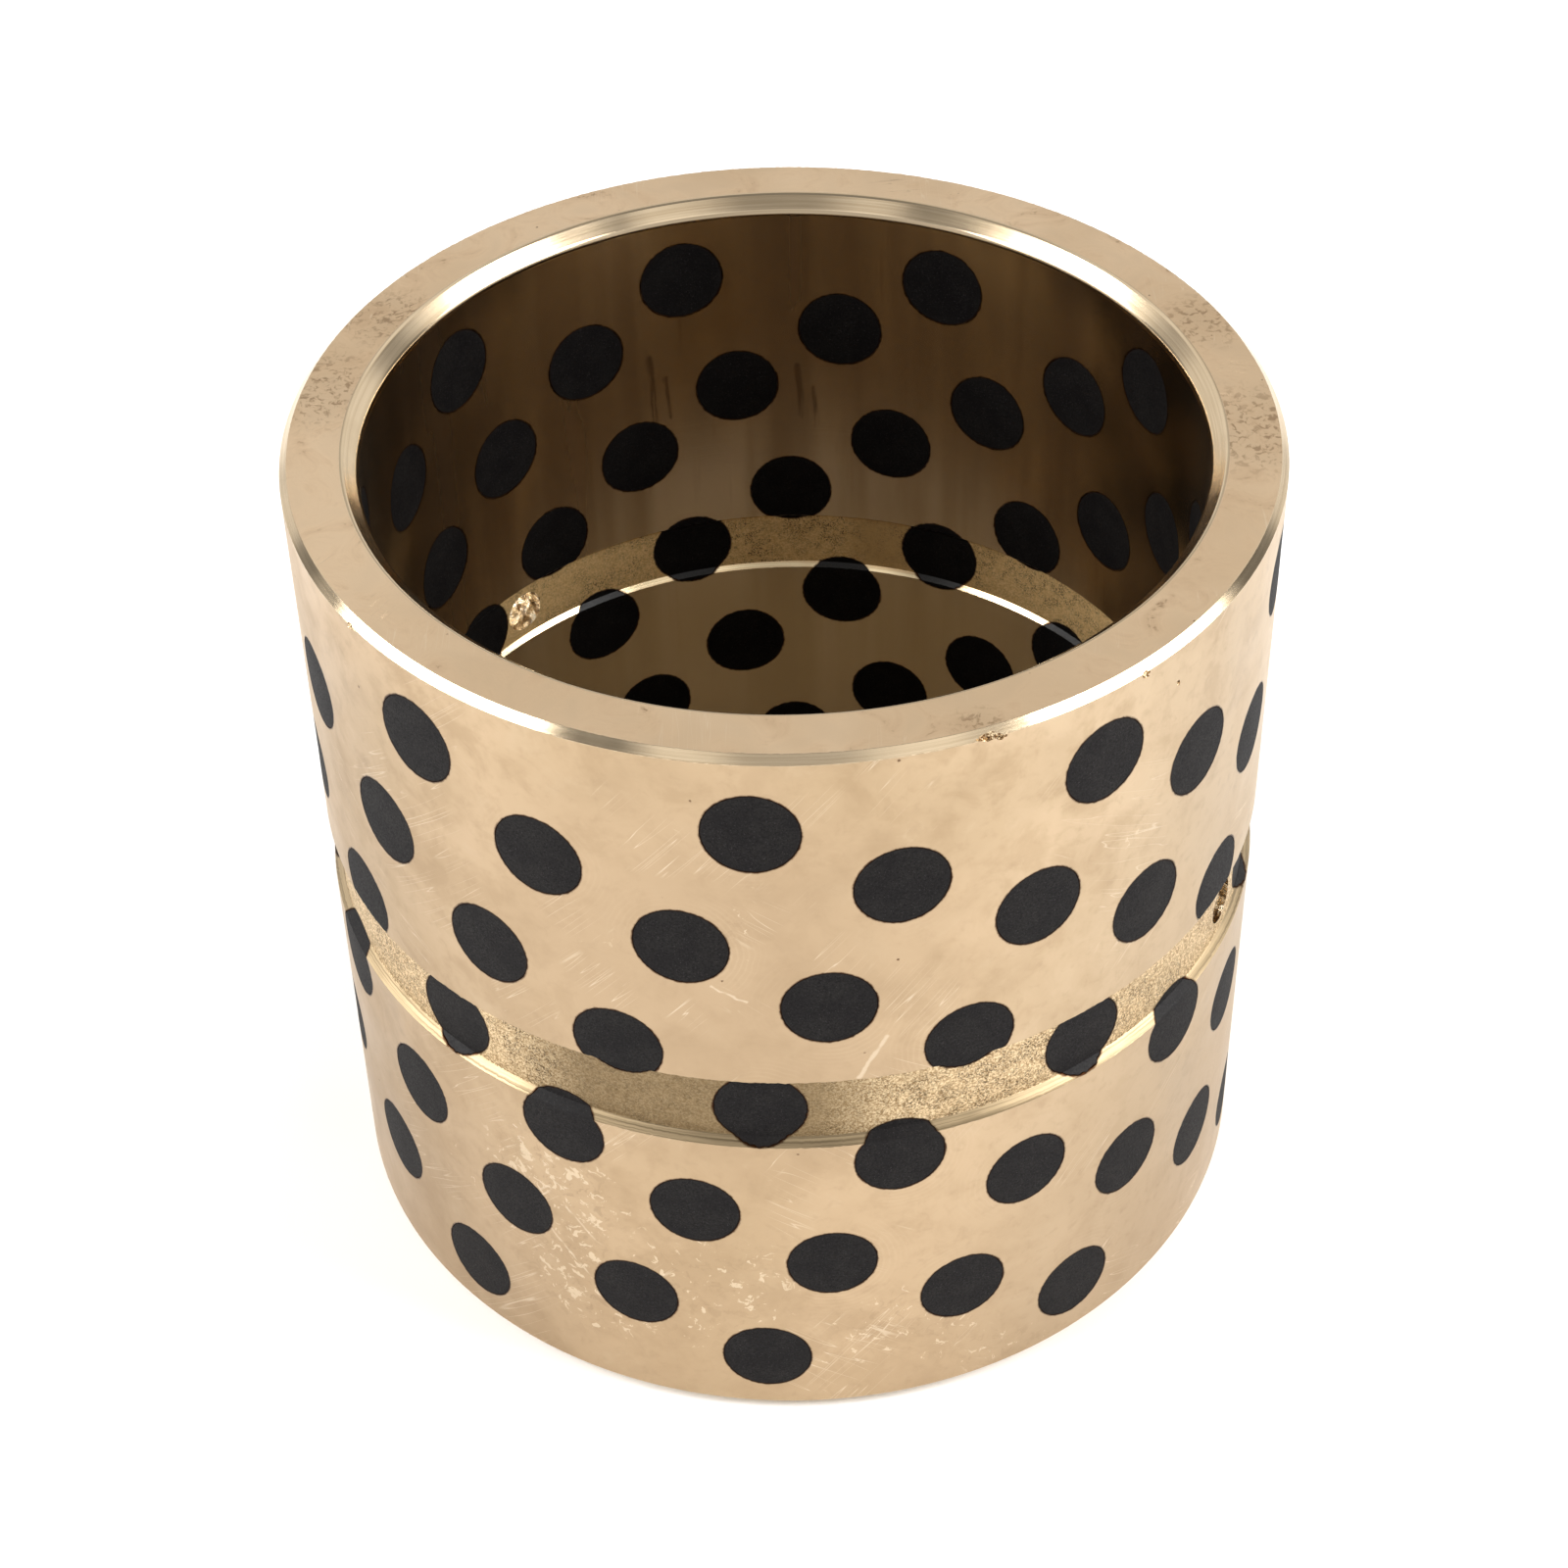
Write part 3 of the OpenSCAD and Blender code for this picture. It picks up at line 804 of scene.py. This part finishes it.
# ---------------------------------------------------------------- pieces
rng = np.random.default_rng(SEED)
profile = outline(sleeve_corners())
bronze = [
    outside_finish(),
    # Outside groove floor. Its patch at -12 degrees paints shade over the groove's front centre, leaving the
    # sides lighter.
    groove_floor_finish(
        "bronze_groove_floor",
        tone(238, 214, 174), tone(164, 136, 98), tone(60, 46, 30), tone(122, 102, 72),
        [(on_wall(OUTSIDE_R / MM, -12, 60), 14.0, 30.0), (on_wall(OUTSIDE_R / MM, 170, 60), 14.0, 40.0)],
    ),
    turned_edge_finish("bronze_groove_side", tone(174, 154, 122), tone(112, 97, 74), 0.42, 0.52, 4.0, 0.03),
    end_face_finish(),
    turned_edge_finish("bronze_chamfer", tone(226, 205, 173), tone(206, 184, 151), 0.13, 0.19, 4.0, 0.0015),
    bore_finish(),
    groove_floor_finish(
        "bronze_bore_groove_floor",
        tone(240, 208, 150), tone(212, 178, 122), tone(80, 62, 40), tone(196, 162, 108),
        [(on_wall(BORE_R / MM, 164, 60), 3.0, 9.0)], 0.45,
    ),
    turned_edge_finish("bronze_bore_groove_side", tone(240, 220, 180), tone(190, 160, 120), 0.16, 0.24, 9.0),
    hole_wall_finish(),
    drilled_finish(),
    nick_finish(),
]
graphite = [
    graphite_finish("graphite_face", 0.56, 0.72, 0.1),
    graphite_finish("graphite_cut", 0.42, 0.58, 0.14),
    # The bore's plugs take share 0.7: their darker greys are painted shade, for the dim bore.
    graphite_finish("graphite_bore_face_shaded", 0.66, 0.8, 0.03, 0.7),
    graphite_finish("graphite_bore_cut_shaded", 0.3, 0.42, 0.3, 0.7),
    graphite_finish("graphite_side", 0.6, 0.8, 0.15),
]
GRAPHITE_FACE, GRAPHITE_CUT, GRAPHITE_BORE, GRAPHITE_BORE_CUT, GRAPHITE_SIDE = range(5)

through = (BORE_R - CUTTER_MARGIN, OUTSIDE_R + CUTTER_MARGIN)
holes, plugs = [], []
for ring, place, angle, z in plug_places():
    stray = rim_shape(rng, ring)
    holes.append(bar(angle, z, through, np.stack([PLUG_R + HOLE_GAP + stray] * 2), PLUG_HOLE))
    plugs.append(bar(angle, z, through, np.stack([PLUG_R - HOLE_GAP + stray] * 2), 0))
for degrees in GREASE_HOLE_ANGLES:
    stations = np.linspace(through[0], through[1], RIDGE_STEPS)
    turn = np.arange(RIDGE_STEPS) * 2 * math.pi / RIDGE_STEPS
    lean = RIDGE_LEAN * np.cos(turn + RIDGE_LEAN_FROM)
    radii = np.stack([GREASE_HOLE_R + RIDGE_HEIGHT * np.cos(s / RIDGE_PITCH + lean) for s in stations])
    holes.append(bar(math.radians(degrees), BORE_GROOVE_Z, stations, radii, GREASE_HOLE))
# Small nicks in the upper outside edge and, last, one pit below it: angle, height, and half sizes, in mm.
NICKS = (
    (20.5, 119.05, (1.5, 0.5, 0.45)),
    (22.0, 118.7, (0.5, 0.35, 0.5)),
    (40.4, 118.6, (0.7, 0.35, 0.45)),
    (-54.6, 118.8, (0.6, 0.35, 0.45)),
    (46.0, 113.6, (0.28, 0.3, 0.55)),
)
for degrees, height, size in NICKS:
    a = math.radians(degrees)
    centre = (OUTSIDE_R * math.sin(a), -OUTSIDE_R * math.cos(a), height * MM)
    v, faces, surfaces = blob(rng, (0, 0, 0), [s * MM for s in size], NICK)
    v = v @ np.array(Matrix.Rotation(a, 3, "Z")).T + np.array(centre)
    holes.append((v, faces, surfaces))

slots = bronze + bronze[:PLUG_HOLE]
sleeve = as_object("sleeve_turned", *turned(rng, profile), slots)
cutter = as_object("cutter", *joined(holes), slots)
combine(sleeve, cutter, "DIFFERENCE")
shade(sleeve, profile, inward=True)
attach(sleeve, "root")
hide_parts("bushing_body")

stock = as_object("plug_stock", *turned(rng, profile, shrink=PLUG_STOCK_SHRINK), slots)
v, faces, _ = joined(plugs)
bars = as_object("plug_bars", v, faces, [PLUG_HOLE] * len(faces), slots)
combine(stock, bars, "INTERSECT")
shade(stock, profile, inward=False)


def split_plugs(stock):
    """The plugs as one piece for each CAD node, three plugs to a node."""
    mesh = stock.data
    ring, place, _, _ = nearest_plug(read(mesh.polygons, "center", 3))
    verts = read(mesh.vertices, "co", 3)
    corner_normals = read(mesh.corner_normals, "vector", 3, np.float32)
    group = ring.astype(int) * PLUGS_PER_GROUP + place.astype(int) // PLUGS_PER_GROUP
    kinds = {
        PLUG_HOLE: GRAPHITE_SIDE,
        GROOVE_SIDE: GRAPHITE_CUT,
        BORE: GRAPHITE_BORE,
        BORE_FLOOR: GRAPHITE_BORE,
        BORE_SIDE: GRAPHITE_BORE_CUT,
    }
    rows = {}
    for p, g in zip(mesh.polygons, group):
        rows.setdefault(int(g), []).append(p)
    for g in sorted(rows):
        name = f"plugs_ring_{g // PLUGS_PER_GROUP + 1:02d}_{GROUPS[g % PLUGS_PER_GROUP]}"
        used, faces, surfaces, normals = {}, [], [], []
        for p in rows[g]:
            faces.append([used.setdefault(i, len(used)) for i in p.vertices])
            surfaces.append(kinds.get(p.material_index, GRAPHITE_FACE))
            normals += [tuple(corner_normals[i]) for i in p.loop_indices]
        made = as_object("graphite_" + name, verts[list(used)], faces, surfaces, graphite)
        made.data.polygons.foreach_set("use_smooth", np.ones(len(faces), dtype=bool))
        made.data.normals_split_custom_set(normals)
        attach(made, "root")
        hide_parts(name)
    bpy.data.objects.remove(stock)
    bpy.data.meshes.remove(mesh)


split_plugs(stock)

# The CAD nodes aren't shown, but each still gets its slot's finish.
for name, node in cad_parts.items():
    finish = bronze[OUTSIDE] if name == "bushing_body" else graphite[GRAPHITE_FACE]
    for slot in node.material_slots:
        slot.material = finish


# ---------------------------------------------------------------- floor, light and camera
FLOOR_SIZE = 6.0
LIGHT_TARGET = (0, 0, 0.06)
LIGHT_DISTANCE = 1.6


def pale_floor():
    mesh = bpy.data.meshes.new("studio_floor")
    half = FLOOR_SIZE / 2
    corners = [(-half, -half, 0), (half, -half, 0), (half, half, 0), (-half, half, 0)]
    mesh.from_pydata(corners, [], [(0, 1, 2, 3)])
    floor = bpy.data.objects.new("studio_floor", mesh)
    bpy.context.scene.collection.objects.link(floor)
    f = Finish("pale_floor", 0.0)
    mottle = f.noise(f.place, 0.01, 2.0)
    colour = f.mix(mottle, (0.94, 0.94, 0.94, 1), (0.97, 0.97, 0.97, 1))
    mesh.materials.append(f.close(colour, f.ramp(mottle, 0.3, 0.7, 0.8, 0.9)))
    return floor


def towards(azimuth, elevation):
    """A direction at an azimuth (from +Y towards +X) and elevation, in degrees."""
    a, e = math.radians(azimuth), math.radians(elevation)
    return (math.sin(a) * math.cos(e), math.cos(a) * math.cos(e), math.sin(e))


# Brighter and darker areas of the studio: azimuth, elevation, core and reach in degrees, and gain.
STUDIO_PATCHES = (
    (-151, 51, 4, 11, 1.9),
    (147, 50, 6, 13, 1.9),
    (-129, 46, 5, 13, 0.28),
    (124, 45, 4, 11, 0.5),
    (-65, 15, 7, 15, 0.25),
    (66, 16, 7, 16, 0.2),
    (0, 26, 9, 22, 0.62),
)


def soft_light(name, direction, size, power):
    """An area light in a direction given as azimuth and elevation, facing the part."""
    where = Vector(towards(*direction))
    data = bpy.data.lights.new(name, "AREA")
    data.shape = "RECTANGLE"
    data.size, data.size_y = size
    data.energy = power
    light = bpy.data.objects.new(name, data)
    light.location = Vector(LIGHT_TARGET) + where * LIGHT_DISTANCE
    light.rotation_euler = (-where).to_track_quat("-Z", "Y").to_euler()
    bpy.context.scene.collection.objects.link(light)


floor = pale_floor()
soft_light("softbox_right", (100, 34), (1.02, 0.8), 26.5)
soft_light("softbox_left", (-97, 34), (1.1, 0.75), 25)

world = bpy.data.worlds.new("studio")
bpy.context.scene.world = world
world.use_nodes = True
w = Nodes(world.node_tree)
world.node_tree.nodes.clear()
direction = w.add("TexCoord").outputs["Generated"]
_, ahead, upward = w.add("SeparateXYZ", {0: direction}).outputs
level = w.math("MULTIPLY", w.ramp(ahead, -0.8, 0.3, 0.6, 0.95), w.ramp(upward, 0.74, 0.96, 1.0, 0.32))
for azimuth, elevation, core, reach, gain in STUDIO_PATCHES:
    aim = {0: direction, 1: towards(azimuth, elevation)}
    closeness = w.add("VectorMath", aim, operation="DOT_PRODUCT").outputs["Value"]
    edges = (math.cos(math.radians(reach)), math.cos(math.radians(core)))
    level = w.math("MULTIPLY", level, w.ramp(closeness, *edges, 1.0, gain))
background = w.add("Background", {"Color": (1.0, 0.985, 0.965, 1.0), "Strength": level})
world.node_tree.links.new(background.outputs[0], w.add("OutputWorld").inputs[0])

# The camera stands in front of the part and above it, and looks down on it. Angles are in degrees: swing
# about +Z, elevation, and roll about the line of sight.
CAMERA_PLACE = (0.0, -0.3487, 0.3691)
CAMERA_SWING, CAMERA_ELEVATION, CAMERA_ROLL = -2.563, 42.369, 0.497
CAMERA_LENS = 75.52
CAMERA_SHIFT = (-0.0759, 0.0237)

camera_data = bpy.data.cameras.new("camera")
camera = bpy.data.objects.new("camera", camera_data)
bpy.context.scene.collection.objects.link(camera)
bpy.context.scene.camera = camera
camera_data.sensor_width = 36.0
camera_data.lens = CAMERA_LENS
camera_data.shift_x, camera_data.shift_y = CAMERA_SHIFT
camera_data.clip_start, camera_data.clip_end = 0.01, 20.0
# With no rotation a camera looks down -Z. It is rolled about its line of sight, tipped up, then swung.
camera.matrix_world = (
    Matrix.Translation(CAMERA_PLACE)
    @ Matrix.Rotation(math.radians(CAMERA_SWING), 4, "Z")
    @ Matrix.Rotation(math.radians(90 - CAMERA_ELEVATION), 4, "X")
    @ Matrix.Rotation(math.radians(CAMERA_ROLL), 4, "Z")
)

bpy.context.scene.view_settings.view_transform = "Standard"
bpy.context.scene.view_settings.look = "None"
